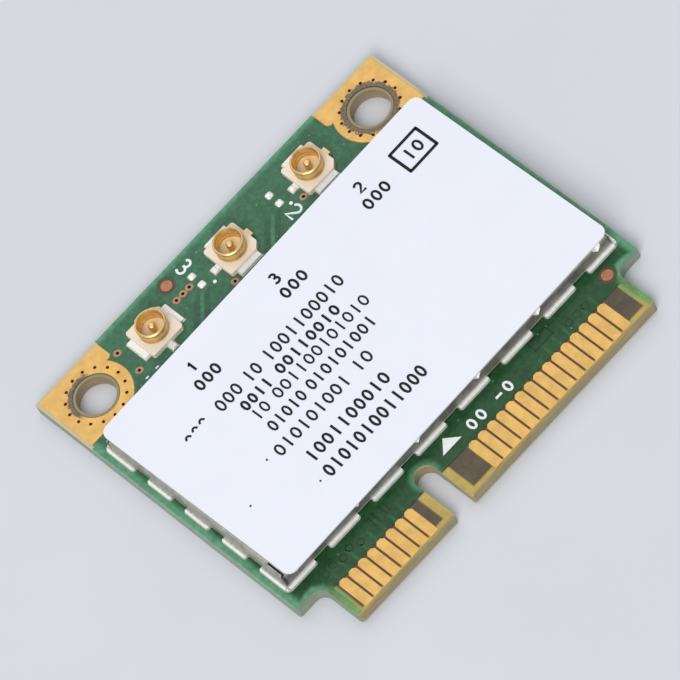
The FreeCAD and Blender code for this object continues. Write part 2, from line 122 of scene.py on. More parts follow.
MARKS = ((MARK_LOW.x + MARK_RADIUS, MARK_HIGH.y - MARK_RADIUS, 0.0),
         (MARK_HIGH.x - MARK_RADIUS, MARK_LOW.y + MARK_RADIUS, 0.0))

# Feed traces from the sockets to the can, and the gaps beside them
FEEDS = ((SOCKETS[1] - 3.2, ROW - 0.415), (SOCKETS[2] - 3.58, ROW - 0.165))
FEED_RUN = (-1.6, -1.7)
FEED_WIDTH = 0.22
FEED_GAPS = ((-0.75, -0.22), (0.22, 0.72))
FEED_SOFT = 0.06

# Relief of the traces at the contacts: x of the group, contacts, length, step and cycle
TRACE_WIDTH = 0.2
TRACE_START = SHORT_HIGH.y + 0.065
TRACES = ((SHORT_LOW.x, range(8), 0.64, 0.25, 3), (LONG_LOW.x, range(8, 15), 0.44, 0.2, 4))
GAP_WIDTH = 0.1
GAP_RING = (0.19, 0.27)
GAP_RINGS = ((-12.1, -9.7), (-11.4, -9.6), (-10.7, -9.8), (-10.0, -9.6), (-9.3, -9.9),
             (8.7, -10.0), (9.4, -10.0), (10.1, -10.0))
GAP_LINES = (-7.95, -7.6, -7.0, -6.7)
GAP_ENDS = (-9.9, -9.1)
GAP_LOOP = ((6.15, -9.68), (7.65, -9.68), (7.65, -8.98), (6.15, -8.98))

# Nibs on the mounting edge: x, and reach past the edge
NIB_LEVELS = (0.15, 0.9)
NIB_ROOT = HALF_LENGTH - 0.02
NIBS = (((-9.5, 0.0), (-5.2, 0.0), (-5.4, 0.11), (-6.6, 0.08), (-7.8, 0.12), (-9.1, 0.09)),
        ((5.75, 0.0), (6.25, 0.0), (6.1, 0.08), (5.85, 0.09)))

# Solder drops: half sizes and height
LAND_DROP = (0.25, 0.24, 0.11)
LEG_DROP = (0.24, 0.27, 0.2)
LEFT_LEG_DROP = (0.27, 0.24, 0.2)
LAND_PLACES = ((-2.8, 0.0), (-2.8, 0.9))
LEG_PLACE = -1.63

# Can: sheet on the card's face, and walls that stand clear of it between the feet
FOOT_TOP = FACE + 0.15
WALL_FOOT = FACE + 0.2

# Label print, stuck askew. Rows: x from and to, y, height, line weight
LABEL_TURN = radians(0.75)
LIGHT, PLAIN, BOLD = 0.9, 1.0, 1.15
LABEL_ROWS = (
    (-8.33, -6.27, 4.92, 0.87, BOLD), (-0.74, 1.40, 5.03, 0.87, BOLD),
    (6.61, 8.79, 5.11, 0.87, BOLD), (-8.54, -6.49, 2.86, 0.92, PLAIN),
    (-6.09, -4.79, 2.86, 0.92, PLAIN), (-4.37, 2.44, 2.92, 0.92, PLAIN),
    (-7.60, -5.10, 1.60, 0.81, BOLD), (-4.57, 0.88, 1.66, 0.81, BOLD),
    (-7.60, -6.30, 0.58, 0.84, LIGHT), (-5.82, 2.43, 0.63, 0.84, LIGHT),
    (-7.55, -4.47, -0.75, 0.86, PLAIN), (-4.19, 1.65, -0.69, 0.86, PLAIN),
    (-8.49, -2.14, -2.24, 0.90, PLAIN), (-1.62, -0.13, -2.18, 0.90, PLAIN),
    (-7.59, -0.58, -4.11, 0.92, BOLD), (-7.63, 1.08, -5.66, 0.96, BOLD),
    (10.54, 12.05, 5.44, 0.9, BOLD))
LABEL_NUMERALS = (("1", -7.41, 6.21, 0.48), ("3", -0.12, 6.27, 0.62), ("2", 7.45, 6.37, 0.62))
LABEL_NUMERAL_HEIGHT = 0.90
LABEL_SQUARE = ((10.14, 4.49), (12.46, 4.52), (12.44, 6.4), (10.12, 6.37))
LABEL_SQUARE_LINE = 0.2
LABEL_DOTS = ((-9.09, -2.10), (-11.87, -3.47), (-8.13, -5.79))
LABEL_DOT = 0.07
LABEL_BOWS = ((-10.95, 2.75), (-10.3, 2.85), (-9.65, 2.9))
LABEL_BOW = (0.2, 0.3)

# White legend on the card
LEGEND_NUMERALS = (("3", -2.62, 12.375, 0.76, 1.18), ("2", 4.20, 9.375, 0.86, 1.12))
LEGEND_TURN = radians(-90)
LEGEND_DOTS = ((-2.18, 10.025), (4.47, 9.945))
LEGEND_DOT = 0.12
LEGEND_TICKS = ((-9.33, 8.785), (-8.47, 8.785))
LEGEND_TICK = (0.24, 0.12)
LEGEND_TRIANGLE = ((-2.23, -9.995), (-0.65, -9.995), (-1.44, -9.135))
LEGEND_OVALS = ((0.32, -9.925), (1.12, -9.925), (3.45, -9.925))
LEGEND_OVAL = (0.2, 0.33)
LEGEND_DASH = (2.66, -9.935, 0.50)
OVAL_ARC = (0, 345, 23)  # degrees from and to, and steps; the band closes the rest


# Colours and properties

def tint(code):
    """Linear colour of a six-digit colour code."""
    shades = [int(code[i:i + 2], 16) / 255 for i in (0, 2, 4)]
    return tuple(c / 12.92 if c < 0.04045 else ((c + 0.055) / 1.055) ** 2.4 for c in shades)


def colour_prop(name, description, code):
    """Colour property from a six-digit code."""
    return FloatVectorProperty(name=name, description=description, default=tint(code),
                               subtype="COLOR", size=3, min=0.0, max=1.0)


def number_prop(name, description, default, **limits):
    """Plain number property."""
    return FloatProperty(name=name, description=description, default=default, **limits)


def share_prop(name, description, default):
    """Property between 0 and 1."""
    return number_prop(name, description, default, subtype="FACTOR", min=0.0, max=1.0)


def length_prop(name, description, millimetres):
    """Length property, given in millimetres."""
    return number_prop(name, description, millimetres * MM, unit="LENGTH", min=0.0, precision=6)


def angle_prop(name, description, degrees):
    """Angle property, given in degrees."""
    return number_prop(name, description, radians(degrees), subtype="ANGLE")


class MINICARD_PG_board(bpy.types.PropertyGroup):
    """Laminate and solder mask"""
    laminate: colour_prop("Laminate", "Bare glass laminate on the tongue", "B39C4D")
    plane: colour_prop("Inner plane", "Copper plane seen through bare laminate", "4F4430")
    gap: colour_prop("Contact gaps", "Laminate between the contacts", "5A3B1E")
    margin: colour_prop("Pad margin", "Bare laminate round the ground pads", "C4B68E")
    bore: colour_prop("Hole rims", "Bare laminate round the mounting holes", "8F8560")
    bore_wall: colour_prop("Hole walls", "Walls of the mounting holes", "A08C68")
    rim: colour_prop("Cut edge", "Sawn edges of the card", "929C86")
    rim_front: colour_prop("Tongue edge", "Sawn edge of the tongue and key slot", "A39469")
    mask_back: colour_prop("Mask, socket side", "Solder mask beside the sockets", "3D6A4F")
    mask_front: colour_prop("Mask, contact side", "Solder mask beside the contacts", "254C2C")
    mask_rim: colour_prop("Mask, rim", "Solder mask where no copper lies under it", "57926D")
    mask_strip: colour_prop("Mask, tongue", "Thin solder mask beside the tongue", "6A9259")
    # Colour of the painted highlight along the card's sawn sides.
    mask_edge_highlight: colour_prop("Mask, cut edge", "Solder mask along the card's sawn sides", "82A494")
    # Colour of the painted glints in the solder mask.
    painted_glint: colour_prop("Flecks", "Small pale flecks in the solder mask", "9CBFA6")
    mask_gloss: share_prop("Mask roughness", "Roughness of the solder mask", 0.24)
    relief: length_prop("Trace relief", "Height of traces under the mask", 0.008)


class MINICARD_PG_metal(bpy.types.PropertyGroup):
    """Plating, solder, can and sockets"""
    gold: colour_prop("Gold", "Plating on contacts and ground pads", "DFB46C")
    stain: colour_prop("Stain", "Scuffed ring on the ground pads", "6B6058")
    copper: colour_prop("Copper", "Alignment marks", "B27B5E")
    ring: colour_prop("Via rings", "Tarnished rings round the vias", "B08B70")
    # Colour of the dark discs of painted shade in the open vias.
    via: colour_prop("Via depth", "Depth of the open vias", "2A0F08")
    plug: colour_prop("Via plug", "Filled vias of the ground pads", "54280F")
    solder: colour_prop("Solder", "Tinned lands and feet", "F2F2EC")
    sheet: colour_prop("Can sheet", "Tinned sheet of the shield can", "A8A69A")
    # Colour of the painted shade in the can's open corners.
    seam: colour_prop("Can seams", "Grime in the can's open corners", "37332B")
    # Also the colour of the painted highlights on the can's pressed corners and along its walls'
    # lower edges.
    foot: colour_prop("Can feet", "Soldered feet and pressed corners of the can", "FBFBF6")
    socket: colour_prop("Socket metal", "Gilt rings and posts", "DFBD80")
    # Pitch of the painted light and dark bands on the socket metal.
    painted_band_pitch: length_prop("Turned bands", "Pitch of the bands turned into the sockets", 0.3)
    gold_rough: share_prop("Gold roughness", "Roughness of the plating", 0.38)
    sheet_rough: share_prop("Sheet roughness", "Roughness of the can", 0.42)


class MINICARD_PG_plain(bpy.types.PropertyGroup):
    """Label film and moulded bodies"""
    film: colour_prop("Label film", "Label on the can", "E8EAF4")
    plastic: colour_prop("Socket body", "Moulded socket bodies", "EDDFCB")
    socket_floor: colour_prop("Socket floor", "Floor inside the sockets' rings", "EBD4AA")
    epoxy: colour_prop("Chip body", "Moulded chips under the can", "1C1C1E")
    ceramic: colour_prop("Ceramic", "Capacitor and filter bodies", "B59A78")
    ferrite: colour_prop("Ferrite", "Inductor bodies", "4A4A4E")


class MINICARD_PG_print(bpy.types.PropertyGroup):
    """Printed marks"""
    legend: colour_prop("Legend ink", "White marks on the card", "E9EEE9")
    ink: colour_prop("Label ink", "Dark marks on the label", "1B1C22")
    thickness: length_prop("Ink thickness", "Height of printed marks", 0.02)
    legend_stroke: length_prop("Legend stroke", "Line width of the card's marks", 0.16)
    label_stroke: length_prop("Label stroke", "Line width of the label's marks", 0.14)
    cell: length_prop("Cell", "Pitch of the shapes in a printed row", 0.68)


class MINICARD_PG_stage(bpy.types.PropertyGroup):
    """Camera, floor and light"""
    target: FloatVectorProperty(name="Target", description="Point the camera looks at",
                                default=(-0.4212 * MM, 0.7392 * MM, 1.0 * MM),
                                subtype="TRANSLATION")
    azimuth: angle_prop("Azimuth", "Camera's direction round Z", -108.582)
    elevation: angle_prop("Elevation", "Camera's height angle", 56.285)
    roll: angle_prop("Roll", "Camera's turn about its line of sight", -30.931)
    distance: number_prop("Distance", "Camera to target", 0.483955, unit="LENGTH", min=0.01)
    lens: number_prop("Focal length", "Camera lens in millimetres", 431.85, min=1.0, max=2000.0)
    floor: colour_prop("Floor", "Surface that the card lies on", "D2D4D9")
    sky: number_prop("Ambient", "Strength of the surrounding light", 0.42, min=0.0)
    soft: number_prop("Overhead lamp", "Power of the large lamp overhead, in watts", 4.15, min=0.0)
    key: number_prop("Side lamp", "Power of the smaller side lamp, in watts", 6.9, min=0.0)


# Shader nodes

def add(tree, kind, inputs=None, **settings):
    """New node with its settings, and inputs either linked or set."""
    node = tree.nodes.new(kind)
    for key, value in settings.items():
        setattr(node, key, value)
    for key, value in (inputs or {}).items():
        feed(tree, node.inputs[key], value)
    return node


def feed(tree, socket, value):
    """Link or set one input."""
    if isinstance(value, bpy.types.NodeSocket):
        tree.links.new(value, socket)
    else:
        socket.default_value = value


def maths(tree, operation, a, b=0.0, clamp=False):
    """Value of one sum."""
    node = add(tree, "ShaderNodeMath", {0: a, 1: b}, operation=operation, use_clamp=clamp)
    return node.outputs[0]


def times(tree, a, b):
    return maths(tree, "MULTIPLY", a, b)


def greatest(tree, first, *others):
    """Largest of several values."""
    for value in others:
        first = maths(tree, "MAXIMUM", first, value)
    return first


def vectors(tree, operation, a, b=(0.0, 0.0, 0.0)):
    """Vector of one sum."""
    return add(tree, "ShaderNodeVectorMath", {0: a, 1: b}, operation=operation).outputs[0]


def split(tree, vector):
    """X, Y and Z of a vector."""
    return add(tree, "ShaderNodeSeparateXYZ", {0: vector}).outputs


def ramp(tree, value, low, high, start=0.0, end=1.0):
    """Value mapped smoothly from low..high to start..end."""
    node = add(tree, "ShaderNodeMapRange", {"Value": value, "From Min": low, "From Max": high,
                                            "To Min": start, "To Max": end},
               interpolation_type="SMOOTHSTEP")
    return node.outputs[0]


def between(tree, value, start, full, ebb, end):
    """0 up to start, 1 from full to ebb, and 0 again from end."""
    return times(tree, ramp(tree, value, start, full), ramp(tree, value, end, ebb))


def mix(tree, share, a, b, blend="MIX"):
    """Colour mixed from a to b."""
    node = add(tree, "ShaderNodeMix", {0: share}, data_type="RGBA", blend_type=blend)
    for socket, value in ((node.inputs[6], a), (node.inputs[7], b)):
        feed(tree, socket, value if isinstance(value, bpy.types.NodeSocket) else (*value[:3], 1.0))
    return node.outputs[2]


def shade(colour, factor):
    """Colour made darker or lighter."""
    return tuple(min(1.0, c * factor) for c in colour[:3])


def spread(tree, share, colour, low, high):
    """One colour from a darker to a lighter shade."""
    return mix(tree, share, shade(colour, low), shade(colour, high))


# Shared effects

VECTORS = ("Place", "Middle", "Half", "Normal")


def new_group(name, inputs, output):
    """Empty node group; gives its tree, its inputs and the socket of its output."""
    tree = bpy.data.node_groups.new(name, "ShaderNodeTree")
    for word in (*inputs, output):
        kind = "Vector" if word in VECTORS else "Float"
        tree.interface.new_socket(name=word, in_out="OUTPUT" if word == output else "INPUT",
                                  socket_type="NodeSocket" + kind)
    return tree, add(tree, "NodeGroupInput").outputs, add(tree, "NodeGroupOutput").inputs[0]


def place_group():
    """Position on the card in millimetres."""
    tree, source, sink = new_group("Card place", (), "Place")
    coords = add(tree, "ShaderNodeTexCoord").outputs["Object"]
    feed(tree, sink, vectors(tree, "MULTIPLY", coords, (1 / MM, 1 / MM, 1 / MM)))


def grain_group():
    """Noise between two values."""
    tree, source, sink = new_group("Grain", ("Place", "Scale", "Low", "High"), "Value")
    noise = add(tree, "ShaderNodeTexNoise", {"Vector": source["Place"], "Scale": source["Scale"],
                                             "Detail": 4.0, "Roughness": 0.6})
    feed(tree, sink, ramp(tree, noise.outputs[0], 0.3, 0.7, source["Low"], source["High"]))


def box_group():
    """1 inside an upright box on the card's plan, 0 outside."""
    tree, source, sink = new_group("Box area", ("Place", "Middle", "Half", "Soft"), "Area")
    offset = vectors(tree, "ABSOLUTE", vectors(tree, "SUBTRACT", source["Place"], source["Middle"]))
    past = split(tree, vectors(tree, "SUBTRACT", offset, source["Half"]))
    outside = greatest(tree, past[0], past[1])
    low = times(tree, source["Soft"], -1.0)
    feed(tree, sink, ramp(tree, outside, low, source["Soft"], 1.0, 0.0))


def ring_group():
    """1 between two radii on the card's plan, 0 elsewhere."""
    tree, source, sink = new_group("Ring area", ("Place", "Middle", "Inner", "Outer", "Soft"),
                                   "Area")
    offset = vectors(tree, "SUBTRACT", source["Place"], source["Middle"])
    flat = vectors(tree, "MULTIPLY", offset, (1.0, 1.0, 0.0))
    reach = add(tree, "ShaderNodeVectorMath", {0: flat}, operation="LENGTH").outputs["Value"]
    inner, outer = (
        ramp(tree, reach, maths(tree, "SUBTRACT", source[radius], source["Soft"]),
             maths(tree, "ADD", source[radius], source["Soft"]), 1.0 - past, past)
        for radius, past in (("Inner", 1.0), ("Outer", 0.0)))
    feed(tree, sink, times(tree, inner, outer))


def fleck_group():
    """1 on sparse small flecks, 0 elsewhere."""
    tree, source, sink = new_group("Flecks", ("Place", "Scale", "Share"), "Area")
    cells = add(tree, "ShaderNodeTexVoronoi", {"Vector": source["Place"], "Scale": source["Scale"]},
                voronoi_dimensions="2D")
    pick = add(tree, "ShaderNodeSeparateColor", {0: cells.outputs["Color"]}).outputs[0]
    chosen = maths(tree, "LESS_THAN", pick, source["Share"])
    near = ramp(tree, cells.outputs["Distance"], 0.11, 0.04)
    feed(tree, sink, times(tree, chosen, near))


def relief_group():
    """Normal of a fine uneven surface."""
    tree, source, sink = new_group("Fine relief", ("Place", "Scale", "Strength"), "Normal")
    noise = add(tree, "ShaderNodeTexNoise", {"Vector": source["Place"], "Scale": source["Scale"],
                                             "Detail": 3.0, "Roughness": 0.55})
    bump = add(tree, "ShaderNodeBump", {"Height": noise.outputs[0], "Strength": source["Strength"],
                                        "Distance": 0.05 * MM})
    feed(tree, sink, bump.outputs[0])


EFFECTS = (place_group, grain_group, box_group, ring_group, fleck_group, relief_group)


# Materials

def new_material(name):
    """Material with a Principled surface and the place on the card; gives it and its tree."""
    material = bpy.data.materials.new(name)
    material.use_nodes = True
    tree = material.node_tree
    tree.nodes.clear()
    shader = add(tree, "ShaderNodeBsdfPrincipled", name="Surface")
    add(tree, "ShaderNodeOutputMaterial", {"Surface": shader.outputs[0]})
    add(tree, "ShaderNodeGroup", node_tree=bpy.data.node_groups["Card place"], name="Place")
    return material, tree


def place_of(tree):
    return tree.nodes["Place"].outputs[0]


def effect(tree, name, **inputs):
    """Output of one shared effect, with its inputs named in lower case."""
    node = add(tree, "ShaderNodeGroup", node_tree=bpy.data.node_groups[name])
    for key, value in {"place": place_of(tree), **inputs}.items():
        feed(tree, node.inputs[key.capitalize()], value)
    return node.outputs[0]


def grains(tree, scale, low=0.0, high=1.0, **place):
    return effect(tree, "Grain", scale=scale, low=low, high=high, **place)


def box_share(tree, box, soft, **place):
    """1 inside a box given by its middle and half sizes."""
    x, y, half_x, half_y = box
    return effect(tree, "Box area", middle=(x, y, 0.0), half=(half_x, half_y, 0.0), soft=soft,
                  **place)


def ring_share(tree, spot, inner, outer, soft):
    return effect(tree, "Ring area", middle=spot, inner=inner, outer=outer, soft=soft)


def disc_share(tree, spot, radius, soft):
    return ring_share(tree, spot, -1.0, radius, soft)


def coat(tree, colour, rough, scale, relief, metal=0.0, level=0.5):
    """Set a material's surface, with fine relief of a scale and strength."""
    values = {"Base Color": colour, "Roughness": rough, "Metallic": metal,
              "Specular IOR Level": level}
    if relief:
        values["Normal"] = effect(tree, "Fine relief", scale=scale, strength=relief)
    for key, value in values.items():
        feed(tree, tree.nodes["Surface"].inputs[key], value)


def mottled(name, colour, uneven, scale, rough, metal=0.0, relief=0.0, relief_scale=6.0, level=0.5):
    """Plain finish with uneven tone and roughness."""
    material, tree = new_material(name)
    tone = spread(tree, grains(tree, scale), colour, 1.0 - uneven, 1.0 + uneven)
    rough = grains(tree, scale * 3.1, rough * 0.8, rough * 1.2)
    coat(tree, tone, rough, relief_scale, relief, metal, level)
    return material


def dress(material, *nodes):
    """Give CAD nodes their material."""
    for name in nodes:
        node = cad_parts[name]
        node.data.materials.clear()
        node.data.materials.append(material)


def nodes_with(start):
    """CAD nodes whose names begin alike."""
    return sorted(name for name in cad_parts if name.startswith(start))


# Flat pieces, drawn in millimetres

CORNER_STEP = 0.001
STROKE_LIFT = 0.002


def turned(x, y, a, b, turn):
    """Point a, b from x, y, turned about it."""
    return x + a * cos(turn) - b * sin(turn), y + a * sin(turn) + b * cos(turn)


def circle(x, y, radius, count):
    return [(x + radius * cos(2 * pi * i / count), y + radius * sin(2 * pi * i / count))
            for i in range(count)]


class Sketch:
    """Gathers flat-topped solids into one mesh."""

    def __init__(self, bottom, top):
        self.bottom = bottom
        self.top = top
        self.points = []
        self.faces = []

    def prism(self, outline):
        """Upright solid on an outline."""
        start = len(self.points)
        count = len(outline)
        self.points += [(x, y, self.bottom) for x, y in outline]
        self.points += [(x, y, self.top) for x, y in outline]
        self.faces += [[start + i for i in reversed(range(count))],
                       [start + count + i for i in range(count)]]
        for i in range(count):
            j = (i + 1) % count
            self.faces.append([start + i, start + j, start + count + j, start + count + i])

    def block(self, x, y, width, depth, turn=0.0):
        """Box about a point."""
        ends = ((-width, -depth), (width, -depth), (width, depth), (-width, depth))
        self.prism([turned(x, y, a / 2, b / 2, turn) for a, b in ends])

    def disc(self, x, y, radius, count=20):
        self.prism(circle(x, y, radius, count))

    def strip(self, line, width, closed=False, lift=0.0):
        """Band of even width along a line of points."""
        line = [Vector(point) for point in line]
        start = len(self.points)
        count = len(line)
        for i, here in enumerate(line):
            before = line[i - 1] if i or closed else here
            after = line[(i + 1) % count] if i + 1 < count or closed else here
            along = (after - before).normalized()
            side = Vector((-along.y, along.x)) * width / 2
            for point in (here + side, here - side):
                self.points.append((point.x, point.y, self.bottom))
                self.points.append((point.x, point.y, self.top + lift))
        for i in range(count if closed else count - 1):
            a = start + 4 * i
            b = start + 4 * ((i + 1) % count)
            self.faces += [[a + 1, a + 3, b + 3, b + 1], [a, b, b + 2, a + 2],
                           [a, a + 1, b + 1, b], [a + 2, b + 2, b + 3, a + 3]]
        if not closed:
            last = start + 4 * (count - 1)
            self.faces += [[start, start + 2, start + 3, start + 1],
                           [last, last + 1, last + 3, last + 2]]

    def dome(self, x, y, half_x, half_y, height, count=20, rows=5):
        """Rounded drop on a squarish foot."""
        start = len(self.points)
        for k in range(rows):
            share = cos(pi / 2 * k / rows)
            level = self.bottom + height * sin(pi / 2 * k / rows)
            for i in range(count):
                a = 2 * pi * i / count
                stretch = (abs(cos(a)) ** 4 + abs(sin(a)) ** 4) ** -0.25
                self.points.append((x + half_x * share * stretch * cos(a),
                                    y + half_y * share * stretch * sin(a), level))
        self.points.append((x, y, self.bottom + height))
        for k in range(rows - 1):
            for i in range(count):
                j = (i + 1) % count
                low = start + k * count
                self.faces.append([low + i, low + j, low + count + j, low + count + i])
        last = start + (rows - 1) * count
        self.faces += [[last + i, last + (i + 1) % count, start + rows * count]
                       for i in range(count)]
        self.faces.append([start + i for i in reversed(range(count))])

    def ring(self, x, y, inner, outer, count=24):
        self.strip(circle(x, y, (inner + outer) / 2, count), outer - inner, closed=True)

    def piece(self, name, material):
        """Make the mesh and parent it to the root body's empty."""
        mesh = bpy.data.meshes.new(name)
        mesh.from_pydata([(x * MM, y * MM, z * MM) for x, y, z in self.points], [], self.faces)
        mesh.materials.append(material)
        mesh.validate()
        obj = bpy.data.objects.new(name, mesh)
        bpy.context.scene.collection.objects.link(obj)
        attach(obj, "root")


def arc(x, y, across, up, start, end, count=14):
    """Points of an oval arc between two angles in degrees."""
    angles = [radians(start + (end - start) * i / count) for i in range(count + 1)]
    return [(x + across * cos(a), y + up * sin(a)) for a in angles]


def sharp(outline):
    """Corner points with near neighbours, so that a closed band keeps sharp corners."""
    line = []
    for i, here in enumerate(outline):
        here = Vector(here)
        before = (Vector(outline[i - 1]) - here).normalized() * CORNER_STEP
        after = (Vector(outline[(i + 1) % len(outline)]) - here).normalized() * CORNER_STEP
        line += [here + before, here, here + after]
    return line


# Strokes of three numerals in a box one unit wide and one high, about its middle

NUMERALS = {
    "1": [[(-0.32, 0.24), (0.1, 0.5), (0.1, -0.5)]],
    "2": [arc(0.0, 0.22, 0.44, 0.28, 160, -40) + [(-0.46, -0.5), (0.5, -0.5)]],
    "3": [arc(0.0, 0.26, 0.38, 0.24, 150, -90), arc(0.0, -0.24, 0.46, 0.26, 90, -150),
          [(-0.14, 0.02), (0.2, 0.02)]],
}


def numeral(sketch, word, x, y, width, height, stroke, turn):
    """Draw a numeral. Each stroke lies a hair above the last, so that no two share a face."""
    for i, line in enumerate(NUMERALS[word]):
        sketch.strip([turned(x, y, a * (width - stroke), b * (height - stroke), turn)
                      for a, b in line], stroke, lift=STROKE_LIFT * i)


# Finishes

def laminate_face(tree, axes, look):
    """Flat laminate: inner plane, contact gaps, tongue's sides, marks, hole rims and margin."""
    grain = grains(tree, 1.6)
    tone = spread(tree, grain, look.laminate, 0.88, 1.1)
    dark = spread(tree, grain, look.plane, 0.8, 1.25)
    for boxes, colour in ((INNER_PLANE, dark), (CONTACT_ROWS, look.gap)):
        for box in boxes:
            tone = mix(tree, box_share(tree, box, 0.08), tone, colour)
    across = maths(tree, "ABSOLUTE", axes[0])
    beside = times(tree, ramp(tree, across, TONGUE - 0.7, TONGUE - 0.45),
                   ramp(tree, axes[1], LOW.y + 0.3, LOW.y + 1.6, 0.3, 0.9))
    tone = mix(tree, beside, tone, look.mask_strip)
    for spot, cover in zip(MARKS, (look.mask_back, look.mask_front)):
        for outer, soft, colour in ((0.75, 0.05, cover), (0.6, 0.13, shade(look.plane, 0.9))):
            tone = mix(tree, ring_share(tree, spot, 0.0, outer, soft), tone, colour)
    for spot in HOLES:
        tone = mix(tree, disc_share(tree, spot, HOLE_RIM, 0.05), tone, look.bore)
        groove = ring_share(tree, spot, HOLE_GROOVE, HOLE_RIM, 0.04)
        tone = mix(tree, groove, tone, shade(look.plane, 1.1))
    pads = (0.0, 0.0, HALF_WIDTH - PAD_MARGIN, HALF_LENGTH - PAD_MARGIN)
    margin = maths(tree, "SUBTRACT", ramp(tree, axes[1], *BACK_STRIP),
                   box_share(tree, pads, 0.03), clamp=True)
    return mix(tree, margin, tone, look.margin)


def laminate_side(tree, axes, look):
    """Sawn edges, hole walls and key slot, streaked by the laminate's layers."""
    front = ramp(tree, axes[1], 0.3 - HALF_LENGTH, 0.1 - HALF_LENGTH)
    cut = mix(tree, front, look.rim, look.rim_front)
    for spot in HOLES:
        cut = mix(tree, disc_share(tree, spot, HOLE_WALL, 0.05), cut, look.bore_wall)
    half = KEY_RADIUS + 0.1
    slot = box_share(tree, area(KEY - half, KEY + half, LOW.y, KEY_END + 0.1), 0.05)
    lip = ramp(tree, axes[2], HIGH.z - 0.3, HIGH.z - 0.15)
    cut = mix(tree, slot, cut, mix(tree, lip, look.rim_front, look.margin))
    stretched = vectors(tree, "MULTIPLY", place_of(tree), (0.8, 0.8, 7.0))
    layers = grains(tree, 1.0, place=stretched)
    return mix(tree, layers, mix(tree, 1.0, cut, (0.74, 0.74, 0.74), "MULTIPLY"), cut)


def laminate_material(look):
    """Bare laminate, told apart on flat faces and on cut sides."""
    material, tree = new_material("Laminate")
    axes = split(tree, place_of(tree))
    normal = split(tree, add(tree, "ShaderNodeNewGeometry").outputs["True Normal"])
    level = ramp(tree, maths(tree, "ABSOLUTE", normal[2]), 0.75, 0.95)
    tone = mix(tree, level, laminate_side(tree, axes, look), laminate_face(tree, axes, look))
    coat(tree, tone, 0.45, 5.0, 0.25)
    return material


def mask_inside(tree):
    """1 where copper lies under the mask, falling to 0 at the card's outline."""
    band = 0.25
    side = HALF_WIDTH - 2 * band
    body = area(-side, side, SHOULDER + band, HALF_LENGTH - band)
    root = area(-TONGUE - 0.4, TONGUE + 0.4, LOW.y, SHOULDER + 1.0)
    inside = greatest(tree, *(box_share(tree, box, band) for box in (body, root)))
    for x, y, radius, share in ((-TONGUE - FILLET, SHOULDER - FILLET, FILLET, 1.0),
                                (TONGUE + FILLET, SHOULDER - FILLET, FILLET, 1.0),
                                (KEY, KEY_END - KEY_RADIUS, KEY_RADIUS, 0.7)):
        rim = disc_share(tree, (x, y, 0.0), radius + band, band)
        inside = maths(tree, "SUBTRACT", inside, times(tree, rim, share), clamp=True)
    return inside


def feed_gaps(tree, axes, tone, dark):
    """Tone with soft dark gaps along both sides of the feed traces."""
    for x, y in FEEDS:
        along = maths(tree, "SUBTRACT", y, axes[1])
        ends = between(tree, along, 0.0, 0.15, 2.0, 2.2)
        line = maths(tree, "SUBTRACT", x, times(tree, along, FEED_RUN[0] / FEED_RUN[1]))
        off = maths(tree, "SUBTRACT", axes[0], line)
        for low, high in FEED_GAPS:
            share = between(tree, off, low - FEED_SOFT, low + FEED_SOFT,
                            high - FEED_SOFT, high + FEED_SOFT)
            tone = mix(tree, times(tree, share, ends), tone, dark)
    return tone


def mask_material(look, name="Solder mask", factor=1.0):
    """Solder mask, paler along the card's outline and thin beside the tongue, with a painted
    highlight along its sawn sides and painted glints.
    """
    material, tree = new_material(name)
    axes = split(tree, place_of(tree))
    across = maths(tree, "ABSOLUTE", axes[0])
    grain = grains(tree, 0.8)
    back, front, rim = (
        spread(tree, grain, colour, low * factor, high * factor)
        for colour, low, high in ((look.mask_back, 0.9, 1.1), (look.mask_front, 0.82, 1.18),
                                  (look.mask_rim, 0.9, 1.1)))
    body = mix(tree, ramp(tree, axes[1], *MASK_FADE), front, back)
    tone = mix(tree, mask_inside(tree), rim, body)
    worn = ramp(tree, axes[1], SHOULDER - 0.8, LOW.y + 0.4)
    thin = spread(tree, worn, look.mask_strip, 0.75, 1.12)
    beside = times(tree, ramp(tree, across, TONGUE - 0.6, TONGUE - 0.4),
                   ramp(tree, axes[1], SHOULDER - 0.3, SHOULDER - 1.2))
    tone = mix(tree, beside, tone, thin)
    tone = feed_gaps(tree, axes, tone, shade(look.mask_back, 0.76 * factor))
    # Painted highlight: a pale line along the card's sawn sides.
    edge_highlight = ramp(tree, across, HALF_WIDTH - 0.12, HALF_WIDTH - 0.02)
    tone = mix(tree, edge_highlight, tone, look.mask_edge_highlight)
    # Painted glints: sparse pale flecks.
    painted_glint = effect(tree, "Flecks", scale=1.3, share=0.16)
    tone = mix(tree, times(tree, painted_glint, 0.32), tone, look.painted_glint)
    patches = grains(tree, 3.2, 0.86, 1.12)
    grey = add(tree, "ShaderNodeCombineColor", {i: patches for i in range(3)}).outputs[0]
    tone = mix(tree, 1.0, tone, grey, "MULTIPLY")
    coat(tree, tone, look.mask_gloss, 2.2, 0.16, level=0.25)
    return material


